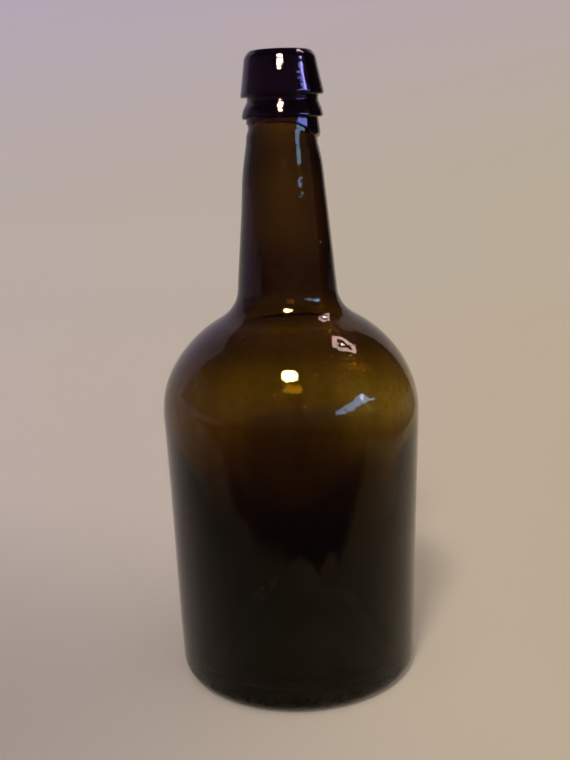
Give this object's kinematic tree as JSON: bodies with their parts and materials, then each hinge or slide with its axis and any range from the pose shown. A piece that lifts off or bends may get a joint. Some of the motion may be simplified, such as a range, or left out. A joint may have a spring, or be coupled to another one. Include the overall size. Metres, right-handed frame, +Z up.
{
  "type": "glass bottle",
  "caption": "Squat dark olive-amber blown glass bottle with a domed shoulder, long tapering neck, laid-on collared lip and push-up base.",
  "frame": {"origin": "middle of the flat resting ring, on the surface that the bottle stands on", "axes": "+Z up along the bottle's axis, out through the mouth; the part is round, so X and Y are any two level directions"},
  "size_m": [0.1024, 0.1024, 0.248],
  "materials": {
    "blown_glass": "dark olive-amber glass, glossy, slightly wavy, with fine seeds and light wear on the resting ring",
    "laid_on_glass": "the same glass laid on thick, nearly black, glossy, with tooling ripples"
  },
  "bodies": {
    "root": {"bottle_body": "blown_glass", "lower_ring": "laid_on_glass", "upper_collar": "laid_on_glass", "collar_overrun": "laid_on_glass"}
  },
  "joints": []
}
